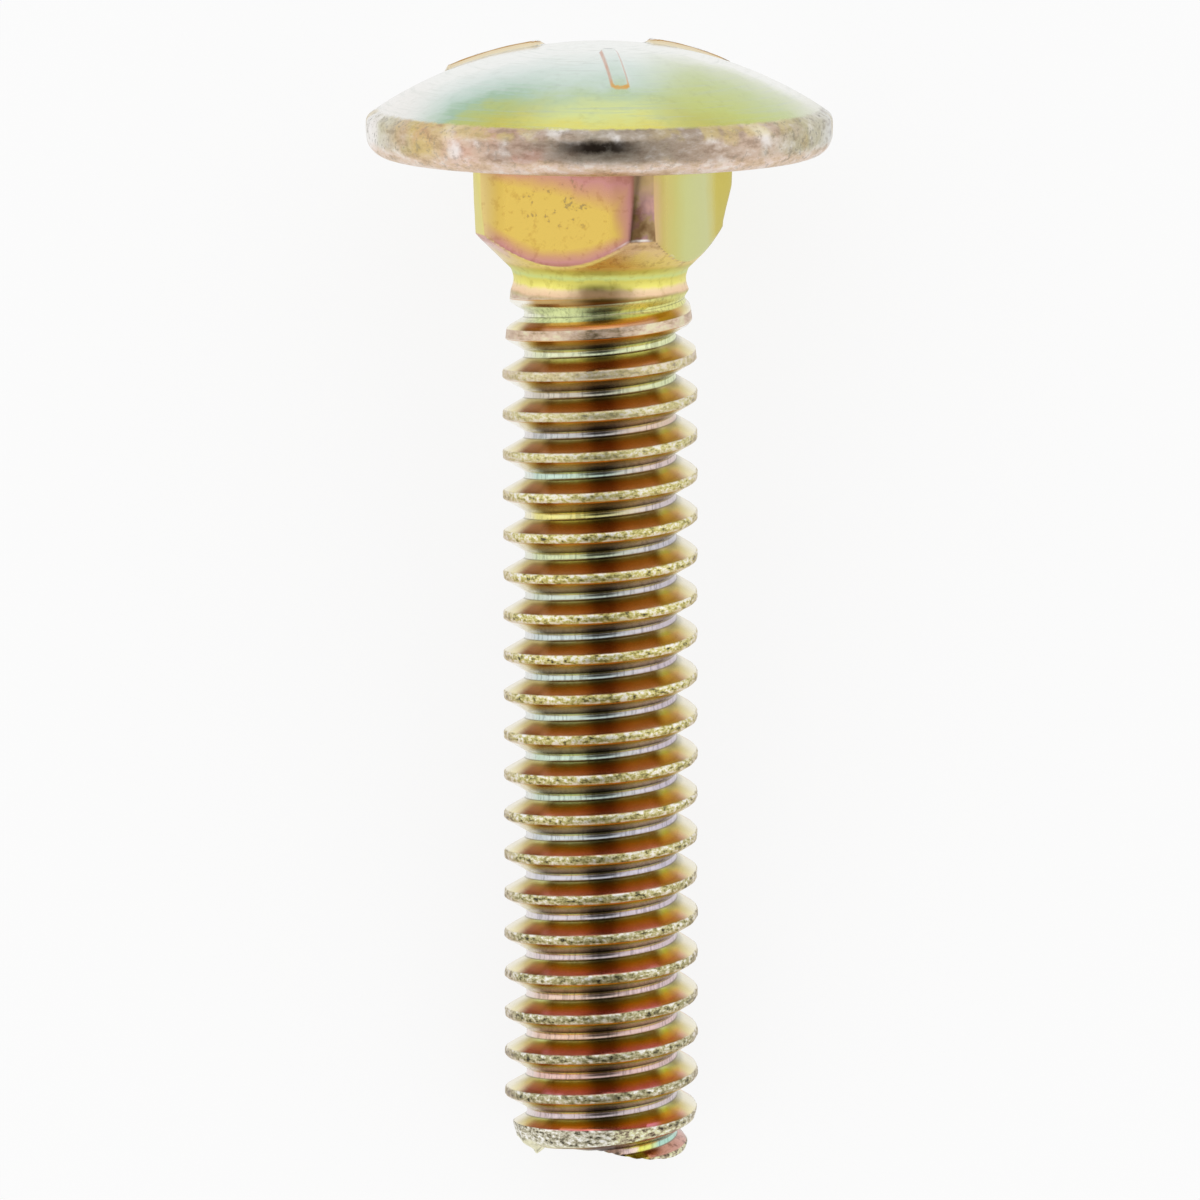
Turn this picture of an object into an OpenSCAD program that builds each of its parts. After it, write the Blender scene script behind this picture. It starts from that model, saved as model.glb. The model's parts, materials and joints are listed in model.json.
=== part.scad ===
// Round-head square-neck carriage bolt, fully threaded, right-hand thread.
// The bolt is built upright on its own axis, with the underside of the head at height 0
// and the head above it, and is then laid down on its rim and on a crest near its end.

/* [Head] */
// Diameter of the round head
head_d = 14.57; // [13:0.01:17]
// Height of the head above its underside
head_h = 3.51; // [3:0.01:4]
// Height at which the domed top would meet the full diameter
rim_h = 1.21; // [1:0.01:1.6]
// Height of the widest part of the rim
rim_mid = 0.9; // [0.7:0.05:1]
// Radius of the rim's bulge
rim_bulge_r = 3; // [2:0.1:6]
// Rounding at the lower edge of the rim
rim_low_r = 0.65; // [0.3:0.05:0.65]
// Rounding at the upper edge of the rim
rim_top_r = 0.25; // [0.1:0.05:0.35]

/* [Grade dashes] */
// Number of raised radial dashes on the dome
dash_count = 3; // [3:1:6]
// Length of a dash
dash_l = 3.4; // [2:0.1:3.8]
// Width of a dash
dash_w = 0.74; // [0.4:0.02:1]
// Height of a dash above the dome
dash_h = 0.24; // [0.06:0.01:0.3]
// Distance from the axis to the middle of a dash
dash_mid = 3.55; // [3:0.05:3.8]
// Turn of the first dash from the side that faces up
dash_turn = 7.5; // [-30:0.5:30]

/* [Square neck] */
// Width of the square across its flats
neck_w = 6.22; // [6:0.01:6.6]
// Rounding of the square's corners
neck_corner_r = 0.64; // [0.3:0.02:0.8]
// Depth of the square, with the cone under its corners
neck_l = 3.53; // [3:0.01:4.2]
// Depth of the cone under the corners
neck_cone_l = 1.16; // [0.9:0.02:1.4]
// Amount by which the corners draw in from the head to the cone
neck_draft = 0.16; // [0:0.01:0.2]
// Turn of the corner that faces up, towards the right of the axis
neck_turn = 19.7; // [0:0.1:45]

/* [Shank] */
// Length of the bolt under its head
shank_l = 31.63; // [25:0.01:45]
// Diameter of the plain shoulder between the neck and the thread
shoulder_d = 5.57; // [5.4:0.01:5.7]
// Length of the plain shoulder
shoulder_l = 0.7; // [0.6:0.05:1.5]

/* [Thread] */
// Diameter over the crests
crest_d = 6.12; // [6:0.01:6.3]
// Diameter at the roots
root_d = 4.72; // [4.6:0.01:4.9]
// Distance between neighbouring crests
pitch = 1.27; // [1.2:0.01:1.4]
// Width of the flat on a crest
crest_flat = 0.26; // [0.12:0.01:0.34]
// Width of the flat in a root
root_flat = 0.2; // [0.12:0.01:0.3]
// Depth under the head of a crest on the side that faces up
crest_start = 6.56; // [6:0.01:7.2]
// Length over which the groove reaches its full depth
groove_run_in = 0.65; // [0.4:0.05:1.4]
// Length over which the crests reach their full height
crest_run_in = 2.4; // [1.2:0.05:3]

/* [Thread end] */
// Radius of the flat end of the bolt
end_r = 2.68; // [2.3:0.01:2.8]
// Slope of the bevel at the end, in radius per length
end_slope = 0.28; // [0.2:0.02:1.2]
// Distance that the rolled lip stands past the rest of the end
lip_h = 0.42; // [0:0.02:0.5]
// Middle of the rolled lip, turned to the right from the side that faces up
lip_turn = 59; // [0:1:120]
// Angle that the rolled lip covers
lip_span = 126; // [60:2:180]

/* [Hidden] */
$fn = 96;
plate_colour = "#d8c765";
head_r = head_d / 2;
crest_r = crest_d / 2;
root_r = root_d / 2;
shoulder_r = shoulder_d / 2;
overlap = 0.3;

// Dome: a ball cut by the rim, so that it reaches head_h on the axis and rim_h at the rim
dome_rise = head_h - rim_h;
dome_r = (head_r * head_r + dome_rise * dome_rise) / (2 * dome_rise);
dome_base = head_h - dome_r;
dome_centre = [0, dome_base];

// Rim: a bulge between the two edge roundings. Neighbouring arcs cross by a hair instead of just
// touching, so that each one ends at a clear corner.
hair = 0.002;
function circles_meet(a, ra, b, rb) =
    let (gap = norm(b - a), along = (gap * gap + ra * ra - rb * rb) / (2 * gap), to_b = (b - a) / gap)
    a + along * to_b + sqrt(ra * ra - along * along) * [to_b.y, -to_b.x];
function past(from, to, reach) = from + (to - from) / norm(to - from) * reach;
bulge_centre = [head_r - rim_bulge_r, rim_mid];
low_reach = sqrt(pow(rim_bulge_r - rim_low_r, 2) - pow(rim_mid - rim_low_r, 2));
low_centre = [bulge_centre.x + low_reach + hair, rim_low_r];
top_centre = circles_meet(
    dome_centre, dome_r - rim_top_r + hair, bulge_centre, rim_bulge_r - rim_top_r + hair);

// Thread: four rows of points follow the helix in each turn, at the edges of crest and root
row_offsets = [crest_flat / 2, pitch / 2 - root_flat / 2, pitch / 2 + root_flat / 2, pitch - crest_flat / 2];
rows_per_turn = len(row_offsets);
thread_top = -(neck_l + shoulder_l);
thread_start = thread_top + overlap;
core_gap = 0.03;
thread_turns = (thread_start + shank_l) / pitch;
facet_budget = 7400;
steps = 2 * floor(facet_budget / (4 * rows_per_turn * thread_turns));
row_count = (ceil(thread_turns) + 5) * rows_per_turn;
weld_gap = 0.02;
first_crest = -crest_start + ceil((crest_start + thread_start) / pitch + 2) * pitch;

// Rest: the bolt lies on the rounded lower edge of its rim and on the crest that touches first
function touch_tilt(r, depth) =
    atan((low_centre.x - r) / (depth + rim_low_r))
    + asin(rim_low_r / norm([low_centre.x - r, depth + rim_low_r]));
crest_edges = [
    for (depth = [crest_start - pitch / 2 : pitch : shank_l - lip_h], side = [-1, 1])
        depth + side * crest_flat / 2
];
lie_tilt = min([for (depth = crest_edges) touch_tilt(thread_r(180, -depth), depth)]);
axis_lift = low_centre.x * cos(lie_tilt) + rim_low_r - rim_low_r * sin(lie_tilt);
reach_front = dome_base * cos(lie_tilt) + dome_r;
reach_back = max([
    for (turn = [0 : 5 : 355]) end_r * cos(turn) * sin(lie_tilt) - end_z(turn) * cos(lie_tilt)
]);
mid_shift = (reach_back - reach_front) / 2;

// Distance along the axis from the nearest crest's middle, for a point at a turn and a height
function crest_gap(turn, z) =
    let (phase = (z + crest_start) / pitch - turn / 360)
    abs(phase - round(phase)) * pitch;

// Radius of the full thread: flat crest, straight flank, flat root
function full_thread(gap) =
    let (flank = (gap - crest_flat / 2) / (pitch / 2 - crest_flat / 2 - root_flat / 2))
    crest_r - (crest_r - root_r) * min(1, max(0, flank));

// The thread grows out of the shoulder: the groove deepens first and the crests rise after it
function run_in(z, span) = min(1, max(0, (thread_top - z) / span));
function grown_thread(full, z) =
    let (base = shoulder_r - core_gap)
    full > base ? min(full, base + (crest_r - base) * run_in(z, crest_run_in))
    : base + (full - base) * run_in(z, groove_run_in);

// Height of the end at a turn: flat, with a lip where the last ridge runs out
function lip_share(turn) =
    let (away = abs((turn - lip_turn + 540) % 360 - 180) / (lip_span / 2))
    away < 1 ? (1 + cos(180 * away)) / 2 : 0;
function end_z(turn) = -shank_l + lip_h * (1 - pow(lip_share(turn), 0.5));
function end_limit(turn, z) = end_r + end_slope * (z - end_z(turn));
function thread_r(turn, z) = min(grown_thread(full_thread(crest_gap(turn, z)), z), end_limit(turn, z));

// Turns are counted from the side that faces up, to the right: a right-hand helix
function ring_point(turn, z) =
    let (r = thread_r(turn, z))
    [r * sin(turn), -r * cos(turn), z];
function row_z(i, j) =
    first_crest + pitch * i / steps - pitch * floor(j / rows_per_turn) - row_offsets[j % rows_per_turn];

// Points outside the thread's two ends stand for the ring at that end
function point_id(i, j) =
    i == steps ? point_id(0, j - rows_per_turn)
    : row_z(i, j) > thread_start - weld_gap ? 2 * i
    : row_z(i, j) < end_z(360 * i / steps) + weld_gap ? 2 * i + 1
    : 2 * steps + i * row_count + j;
function patch(a, b, c) = a == b || b == c || c == a ? [] : [[a, b, c]];

// Revolved outline of the head: flat underside, bulged rim and a slice of a ball on top
module head() {
    beyond = 1;
    color(plate_colour)
        rotate_extrude()
            union() {
                intersection() {
                    translate(dome_centre) circle(r = dome_r, $fn = 360);
                    polygon([
                        [0, 0], [low_centre.x, 0], low_centre, top_centre,
                        past(dome_centre, top_centre, dome_r + beyond),
                        [0, head_h + beyond]
                    ]);
                }
                intersection() {
                    translate(bulge_centre) circle(r = rim_bulge_r, $fn = 180);
                    polygon([
                        low_centre, past(bulge_centre, low_centre, rim_bulge_r + beyond),
                        past(bulge_centre, top_centre, rim_bulge_r + beyond), top_centre
                    ]);
                }
                translate(low_centre) circle(r = rim_low_r, $fn = 48);
                translate(top_centre) circle(r = rim_top_r, $fn = 48);
            }
}

// One raised dash: a bar with round ends, topped by a ball a little larger than the dome's
module grade_dash() {
    color(plate_colour)
        intersection() {
            translate([0, 0, dome_base]) sphere(r = dome_r + dash_h, $fn = 180);
            translate([0, -dash_mid, rim_h])
                linear_extrude(head_h - rim_h + 2 * dash_h)
                    union() {
                        square([dash_w, dash_l - dash_w], center = true);
                        for (side = [-1, 1])
                            translate([0, side * (dash_l - dash_w) / 2]) circle(d = dash_w, $fn = 32);
                    }
        }
}

module grade_dashes() {
    for (i = [0 : dash_count - 1])
        rotate([0, 0, dash_turn + i * 360 / dash_count]) grade_dash();
}

module rounded_square(w, r) {
    union() {
        square([w, w - 2 * r], center = true);
        square([w - 2 * r, w], center = true);
        for (x = [-1, 1], y = [-1, 1])
            translate([x * (w / 2 - r), y * (w / 2 - r)]) circle(r = r, $fn = 48);
    }
}

// Square neck: its corners are turned down by a cone that meets the shoulder
module square_neck() {
    corner_reach = neck_w / sqrt(2) - neck_corner_r * (sqrt(2) - 1);
    color(plate_colour)
        intersection() {
            translate([0, 0, -neck_l - overlap])
                linear_extrude(neck_l + 2 * overlap)
                    rotate(45 + neck_turn) rounded_square(neck_w, neck_corner_r);
            rotate_extrude()
                polygon([
                    [0, overlap], [corner_reach + 0.05, overlap], [corner_reach + 0.03, 0],
                    [corner_reach - neck_draft, -neck_l + neck_cone_l],
                    [shoulder_r, -neck_l], [0, -neck_l]
                ]);
        }
}

module shoulder() {
    color(plate_colour)
        translate([0, 0, thread_top]) cylinder(r = shoulder_r, h = shoulder_l + overlap);
}

// Thread and core as one closed skin, woven between the helical rows and the two end rings
module thread() {
    rings = [
        for (i = [0 : steps - 1], z = [thread_start, end_z(360 * i / steps)])
            ring_point(360 * i / steps, z)
    ];
    rows = [
        for (i = [0 : steps - 1], j = [0 : row_count - 1])
            ring_point(360 * i / steps, row_z(i, j))
    ];
    top_id = len(rings) + len(rows);
    caps = [[0, 0, thread_start], [0, 0, -shank_l + lip_h]];
    skin = [
        for (i = [0 : steps - 1], j = [rows_per_turn : row_count - 2])
            let (a = point_id(i, j), b = point_id(i + 1, j), c = point_id(i + 1, j + 1), d = point_id(i, j + 1))
            each concat(patch(a, b, c), patch(a, c, d))
    ];
    ends = [
        for (i = [0 : steps - 1])
            let (next = (i + 1) % steps)
            each [[2 * i, top_id, 2 * next], [2 * next + 1, top_id + 1, 2 * i + 1]]
    ];
    color(plate_colour)
        polyhedron(points = concat(rings, rows, caps), faces = concat(skin, ends), convexity = 20);
}

module carriage_bolt() {
    translate([0, mid_shift, axis_lift])
        rotate([lie_tilt - 90, 0, 0]) {
            head();
            grade_dashes();
            square_neck();
            shoulder();
            thread();
        }
}

carriage_bolt();
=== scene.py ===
"""A zinc-plated carriage bolt lying on a pale surface, seen from above."""
import json
import math
from types import SimpleNamespace

import bpy
from mathutils import Matrix, Vector


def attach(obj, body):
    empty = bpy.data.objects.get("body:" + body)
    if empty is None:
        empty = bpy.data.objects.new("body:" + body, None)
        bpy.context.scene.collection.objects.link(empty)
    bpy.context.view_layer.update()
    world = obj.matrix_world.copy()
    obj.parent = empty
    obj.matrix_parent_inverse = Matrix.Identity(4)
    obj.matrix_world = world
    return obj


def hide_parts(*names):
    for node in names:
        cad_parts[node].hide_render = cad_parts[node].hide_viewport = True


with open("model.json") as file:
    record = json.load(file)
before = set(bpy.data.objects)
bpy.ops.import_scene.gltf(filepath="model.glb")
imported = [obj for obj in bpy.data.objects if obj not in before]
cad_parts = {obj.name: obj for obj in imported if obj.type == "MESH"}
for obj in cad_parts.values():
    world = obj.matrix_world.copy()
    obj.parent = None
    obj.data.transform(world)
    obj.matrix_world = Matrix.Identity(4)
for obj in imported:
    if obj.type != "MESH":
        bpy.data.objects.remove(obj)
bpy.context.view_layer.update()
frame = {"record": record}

MM = 0.001
TAU = 2 * math.pi

# The bolt's own sizes, in millimetres, as in the part's source
HEAD_R = 7.285
HEAD_H = 3.51
RIM_H = 1.21
RIM_MID = 0.9
RIM_BULGE_R = 3
RIM_LOW_R = 0.65
RIM_TOP_R = 0.25
DASH_COUNT = 3
DASH_L = 3.4
DASH_W = 0.74
DASH_H = 0.24
DASH_MID = 3.55
DASH_TURN = math.radians(7.5)
NECK_W = 6.22
NECK_CORNER_R = 0.64
NECK_L = 3.53
NECK_CONE_L = 1.16
NECK_DRAFT = 0.16
NECK_TURN = math.radians(19.7)
SHANK_L = 31.63
SHOULDER_R = 2.785
SHOULDER_L = 0.7
CREST_R = 3.06
ROOT_R = 2.36
PITCH = 1.27
CREST_FLAT = 0.26
ROOT_FLAT = 0.2
CREST_START = 6.56
GROOVE_RUN_IN = 0.65
CREST_RUN_IN = 2.4
END_R = 2.68
END_SLOPE = 0.28
LIP_H = 0.42
LIP_TURN = math.radians(59)
LIP_SPAN = math.radians(126)
DOME_RISE = HEAD_H - RIM_H
DOME_R = (HEAD_R ** 2 + DOME_RISE ** 2) / (2 * DOME_RISE)
DOME_BASE = HEAD_H - DOME_R
NECK_CORNER = NECK_W / math.sqrt(2) - NECK_CORNER_R * (math.sqrt(2) - 1)
THREAD_TOP = -(NECK_L + SHOULDER_L)
LAST_CREST = math.ceil((CREST_START - SHANK_L) / PITCH)

# Only this scene's: the dashes as worn, the fillet under the head, a flare at the neck's right
# corner, the shoulder's hollow and a burr at the end, in millimetres too
DASH_WORN_H = 0.17
FILLET_R = 0.12
SHOULDER_HOLLOW = 0.09
FLARE_OUT = 0.24
FLARE_DEEP = 2.2
FLARE_SLOPE = 0.48
BURR_TURN = math.radians(-62)
BURR_H = 0.4
BURR_HALF = 0.13

# The rim's and the crests' wear, and how it grows along the bolt
RIM_WEAR = 0.05
CREST_WEAR = 0.05
WEAR_PER_MM = 0.004

# The width of a dash's sloping flank, and how softly the square meets the cone and the thread
# meets the bevel
DASH_FLANK = 0.2
SQUARE_BLEND = 0.06
BEVEL_BLEND = 0.05

# The skin: where the helical rows begin, how many turns are spare to close the end face, over
# which share of a pitch it closes, how finely the skin is divided, how near its points are
# welded, and from which angle an edge stays sharp
ROWS_START = -3.8
SPARE_TURNS = 5
FACE_SHARE = 0.92
HEAD_COLUMNS = 288
THREAD_COLUMNS = HEAD_COLUMNS // 2
WELD_GAP = 0.002
SHARP_EDGE = math.radians(42)

# The film: over how many turns of the groove its colours run, how far inside its flat a face of
# the square takes over from the corner, and how softly
ROOT_LAPS = 24
FACE_MARGIN = 0.035
FACE_SOFT = 0.025

# How rough the plating is where it is bright, how much rougher where it is worn, and its bumps
BRIGHT_ROUGH = 0.22
WORN_ROUGH = 0.2
BUMP_H = 0.02

# The surround's dark opening leans from straight overhead towards the bolt's tail, and its
# reflection runs down the thread at this turn
OPENING_LEAN = math.radians(16.6)
FRONT_TURN = 0.04

# The room, in metres and watts
FLOOR_HALF = 1.5
LAMP_SIZE = (0.3, 0.4)
LAMP_ASIDE = 0.45
LAMP_UP = 0.12
LAMP_WATTS = 0.06

# The bolt's place: the middle of its bearing face, and its axis from the tail to the head
mounts = {mount["name"]: mount for mount in frame["record"]["mounts"]}
axis = -Vector(mounts["under_head"]["axis"])
seat = Vector((0, *mounts["under_head"]["pos_m"][1:]))
lie_tilt = math.atan2(axis.z, axis.y)
lying = Matrix.Translation(seat) @ Matrix.Rotation(lie_tilt - math.pi / 2, 4, "X")


class Wire:
    """A socket in a node tree: sums of wires add Math nodes, other nodes come from node()."""

    def __init__(self, tree, socket=None):
        self.tree = tree
        self.socket = socket

    def node(self, kind, settings=None, sockets=None, out=0):
        made = self.tree.nodes.new(kind)
        for name, value in (settings or {}).items():
            if name == "stops":
                fill_ramp(made.color_ramp, value)
            else:
                setattr(made, name, value)
        for key, value in (sockets or {}).items():
            if isinstance(value, Wire):
                self.tree.links.new(value.socket, made.inputs[key])
            else:
                made.inputs[key].default_value = value
        return Wire(self.tree, made.outputs[out]) if len(made.outputs) else made

    def math(self, operation, *others):
        return self.node("ShaderNodeMath", {"operation": operation}, dict(enumerate((self, *others))))

    def __add__(self, other):
        return self.math("ADD", other)

    def __radd__(self, other):
        return self.math("ADD", other)

    def __sub__(self, other):
        return self.math("SUBTRACT", other)

    def __rsub__(self, other):
        return (self * -1).math("ADD", other)

    def __mul__(self, other):
        return self.math("MULTIPLY", other)

    def __rmul__(self, other):
        return self.math("MULTIPLY", other)

    def __truediv__(self, other):
        return self.math("DIVIDE", other)

    def __pow__(self, other):
        return self.math("POWER", other)

    def __neg__(self):
        return self * -1

    def __abs__(self):
        return self.math("ABSOLUTE")

    def sine(self):
        return self.math("SINE")

    def cosine(self):
        return self.math("COSINE")

    def low(self, other):
        return self.math("MINIMUM", other)

    def high(self, other):
        return self.math("MAXIMUM", other)

    def clamp(self):
        return self.high(0).low(1)

    def above(self, other):
        return self.math("GREATER_THAN", other)

    def fade(self, start, end):
        """0 at start, 1 at end and smooth between them; start may be the larger."""
        flip = start > end
        ends = (end, start) if flip else (start, end)
        ranges = {"Value": self, "From Min": ends[0], "From Max": ends[1]}
        ranges.update({"To Min": 1.0, "To Max": 0.0} if flip else {"To Min": 0.0, "To Max": 1.0})
        return self.node("ShaderNodeMapRange", {"interpolation_type": "SMOOTHSTEP"}, ranges)

    def band(self, middle, half, soft):
        """1 within half of the middle, and 0 past a soft edge."""
        return abs(self - middle).fade(half + soft / 2, half - soft / 2)

    def split(self):
        parts = self.node("ShaderNodeSeparateXYZ", {}, {0: self}).socket.node.outputs
        return [Wire(self.tree, part) for part in parts]

    def vector(self, x, y, z):
        return self.node("ShaderNodeCombineXYZ", {}, {0: x, 1: y, 2: z})

    def noise(self, place, scale, detail=3.0, roughness=0.55):
        return self.node("ShaderNodeTexNoise", {}, {
            "Vector": place, "Scale": scale, "Detail": detail, "Roughness": roughness,
        })

    def sway(self, reach):
        """A noise of 0 to 1, swung about 0 over this reach."""
        return (self - 0.5) * reach

    def tinted(self, share, colour):
        """This colour, with another laid over it by share."""
        return self.node("ShaderNodeMix", {"data_type": "RGBA"}, {0: share, 6: self, 7: colour}, out=2)

    def dimmed(self, share, colour):
        """This colour, multiplied by another by share."""
        return self.node("ShaderNodeMix", {"data_type": "RGBA", "blend_type": "MULTIPLY"}, {
            0: share, 6: self, 7: colour,
        }, out=2)

    def shades(self, *stops):
        """A colour for each stretch of this value between 0 and 1."""
        return self.node("ShaderNodeValToRGB", {"stops": stops}, {0: self})


def fill_ramp(ramp, stops):
    while len(ramp.elements) < len(stops):
        ramp.elements.new(0.5)
    for element, (position, code) in zip(ramp.elements, stops):
        element.position = position
        element.color = tint(code)


def tint(code):
    """The linear colour of a hex code, as the eye reads it off a surface."""
    parts = [int(code[i:i + 2], 16) / 255 for i in (0, 2, 4)]
    return (*[p / 12.92 if p <= 0.04045 else ((p + 0.055) / 1.055) ** 2.4 for p in parts], 1.0)


def arc(middle, radius, start, end, steps):
    """Points of an arc, by angle from the axis: the first angle is left to the run before it."""
    angles = [start + (end - start) * k / steps for k in range(1, steps + 1)]
    return [(middle[0] + radius * math.sin(a), middle[1] + radius * math.cos(a)) for a in angles]


def run(start, end, steps):
    return [tuple(a + (b - a) * k / steps for a, b in zip(start, end)) for k in range(1, steps + 1)]


def lean(start, end):
    """Angle from the axis of the line between two points of an outline."""
    return math.atan2(end[0] - start[0], end[1] - start[1])


def circles_meet(a, radius_a, b, radius_b):
    """The outer of the two points that lie at these distances from a and from b."""
    reach = math.dist(a, b)
    along = (reach ** 2 + radius_a ** 2 - radius_b ** 2) / (2 * reach)
    aside = math.sqrt(radius_a ** 2 - along ** 2)
    to_b = ((b[0] - a[0]) / reach, (b[1] - a[1]) / reach)
    return (a[0] + along * to_b[0] + aside * to_b[1], a[1] + along * to_b[1] - aside * to_b[0])


def head_outline():
    """Rings from the top of the dome to the shoulder: radius, share of the square, height."""
    dome = (0, DOME_BASE)
    bulge = (HEAD_R - RIM_BULGE_R, RIM_MID)
    low = (bulge[0] + math.sqrt((RIM_BULGE_R - RIM_LOW_R) ** 2 - (RIM_MID - RIM_LOW_R) ** 2), RIM_LOW_R)
    top = circles_meet(dome, DOME_R - RIM_TOP_R, bulge, RIM_BULGE_R - RIM_TOP_R)
    round_part = [(0.0, HEAD_H)]
    round_part += arc(dome, DOME_R, 0, lean(dome, top), 62)
    round_part += arc(top, RIM_TOP_R, lean(dome, top), lean(bulge, top), 5)
    round_part += arc(bulge, RIM_BULGE_R, lean(bulge, top), lean(bulge, low), 6)
    round_part += arc(low, RIM_LOW_R, lean(bulge, low), math.pi, 8)
    round_part += run((low[0], 0), (NECK_CORNER + FLARE_OUT + 0.1, 0), 5)
    cone_top = (NECK_CORNER - NECK_DRAFT, -NECK_L + NECK_CONE_L)
    square_part = [(NECK_CORNER + 0.05, 0.0)]
    square_part += run((NECK_CORNER + 0.03, 0), cone_top, 28)
    square_part += run(cone_top, (SHOULDER_R, -NECK_L), 12)
    shoulder_part = [
        (SHOULDER_R - SHOULDER_HOLLOW * math.sin(math.pi * (-NECK_L - z) / SHOULDER_L), z)
        for _, z in run((0, -NECK_L), (0, ROWS_START), 4)
    ]
    return [(r, 0.0, z) for r, z in round_part] + [(r, 1.0, z) for r, z in square_part] \
        + [(r, 0.0, z) for r, z in shoulder_part]


def thread_outline():
    """Rows of one turn, from a crest down to the next: share of the full height, drop."""
    half = (0, 0.09, 0.13, 0.17, 0.27, 0.38, 0.485, 0.54)
    drops = [*half, PITCH / 2, *[PITCH - drop for drop in reversed(half[1:])]]

    def flat_share(drop):
        gap = min(drop % PITCH, -drop % PITCH)
        flank = (gap - CREST_FLAT / 2) / (PITCH / 2 - CREST_FLAT / 2 - ROOT_FLAT / 2)
        return 1 - min(1, max(0, flank))

    softening = (-0.04, -0.02, 0, 0.02, 0.04)
    return [(sum(flat_share(drop + s) for s in softening) / len(softening), 0.0, drop) for drop in drops]


def outline_object(name, points):
    mesh = bpy.data.meshes.new(name)
    mesh.from_pydata(points, [], [])
    return bpy.data.objects.new(name, mesh)


def add_inputs(tree, inputs):
    """Named inputs with their values, given as (socket type, value)."""
    for name, (kind, value) in inputs.items():
        socket = tree.interface.new_socket(name=name, in_out="INPUT", socket_type="NodeSocket" + kind)
        if kind == "Float":
            socket.default_value = value
    group = tree.nodes.new("NodeGroupInput")
    return {name: Wire(tree, group.outputs[name]) for name in inputs}


def rolled_grid(bench, columns, rows):
    """A grid to roll up: its geometry, and each point's column and row from the top."""
    grid = bench.node("GeometryNodeMeshGrid", {}, {
        "Size X": float(columns), "Size Y": float(rows),
        "Vertices X": columns + 1, "Vertices Y": rows + 1,
    })
    x, y, _ = bench.node("GeometryNodeInputPosition").split()
    return grid, (x + columns / 2).math("ROUND"), (rows / 2 - y).math("ROUND")


def outline_spot(bench, shape, row):
    """The outline's point with this number, as its three coordinates."""
    points = bench.node("GeometryNodeObjectInfo", {}, {"Object": shape}, out="Geometry")
    number = bench.node("FunctionNodeFloatToInt", {"rounding_mode": "ROUND"}, {0: row})
    place = bench.node("GeometryNodeInputPosition")
    return bench.node("GeometryNodeSampleIndex", {"data_type": "FLOAT_VECTOR"}, {
        "Geometry": points, "Value": place, "Index": number,
    }).split()


def stand(bench, grid, radius, turn, height):
    """The grid with its points set round the axis."""
    place = bench.vector(radius * turn.sine(), -radius * turn.cosine(), height)
    return bench.node("GeometryNodeSetPosition", {}, {"Geometry": grid, "Position": place})


def square_radius(turn, width, corner_r):
    """Distance from the axis to a square with round corners, its first corner at NECK_TURN."""
    quarter = math.pi / 2
    off_flat = abs((turn - (NECK_TURN - 4 * quarter)).math("MODULO", quarter) - quarter / 2)
    inner = width * 0.5 - corner_r
    flat = width * 0.5 / off_flat.cosine()
    under_root = corner_r * corner_r - inner * inner * (1 - (off_flat * 2).sine())
    corner = inner * (off_flat.cosine() + off_flat.sine()) + under_root.high(0) ** 0.5
    on_corner = off_flat.math("TANGENT").above(inner / (width * 0.5))
    return flat + (corner - flat) * on_corner


def dash_share(x, y, length, width, middle):
    """1 on each raised dash of the dome, with sloping flanks."""
    share = None
    for k in range(DASH_COUNT):
        turn = DASH_TURN + k * TAU / DASH_COUNT
        along = x * math.sin(turn) - y * math.cos(turn)
        across = x * math.cos(turn) + y * math.sin(turn)
        past = (abs(along - middle) - (length - width) * 0.5).high(0)
        edge = (past * past + across * across) ** 0.5 - width * 0.5
        one = edge.fade(0, -DASH_FLANK)
        share = one if share is None else share.high(one)
    return share


def head_grid(bench, size, rings):
    """Dome, rim, underside, square neck and shoulder."""
    grid, column, row = rolled_grid(bench, HEAD_COLUMNS, rings - 1)
    ring_r, square_share, height = outline_spot(bench, size["Head outline"], row)
    # The last ring has the thread's columns, so that the two skins meet point for point
    last_ring = row.above(rings - 1.5)
    paired = (column * 0.5 + 0.01).math("FLOOR") * 2
    turn = (column + (paired - column) * last_ring) * (TAU / HEAD_COLUMNS)
    on_dome = height.above(RIM_H)
    x = ring_r * turn.sine()
    y = -ring_r * turn.cosine()
    raised = dash_share(x, y, size["Dash length"], size["Dash width"], size["Dash middle"])
    lift = raised * size["Dash height"] * on_dome / DOME_R
    worn = (bench.noise(bench.vector(x, y, height), 0.8, 2.0) - 0.7).low(0) * RIM_WEAR
    rim_share = ring_r.fade(HEAD_R - 0.7, HEAD_R - 0.2)
    round_r = ring_r * (1 + lift) + worn * rim_share
    round_z = height + (height - DOME_BASE) * lift
    into = (height + FILLET_R).high(0).low(FILLET_R)
    fillet = FILLET_R - (FILLET_R * FILLET_R - into * into).high(0) ** 0.5
    right_corner = NECK_TURN + math.pi / 2
    flare_out = ((height / FLARE_DEEP + 1).high(0) * FLARE_SLOPE).low(FLARE_OUT)
    flare = abs(turn - right_corner).fade(0.3, 0.05) * flare_out
    square = square_radius(turn, size["Neck width"], size["Neck corner"])
    cut = bench.node("ShaderNodeMath", {"operation": "SMOOTH_MIN"}, {0: ring_r, 1: square, 2: SQUARE_BLEND})
    square_r = cut + fillet + flare
    radius = round_r + (square_r - round_r) * square_share
    return stand(bench, grid, radius, turn, round_z)


def off_lip(away):
    """How far up from the lip's tip the end lies: 0 at its middle, 1 from half its span on."""
    return 1 - ((away.low(1) * math.pi).cosine() * 0.5 + 0.5).high(0) ** 0.5


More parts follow.
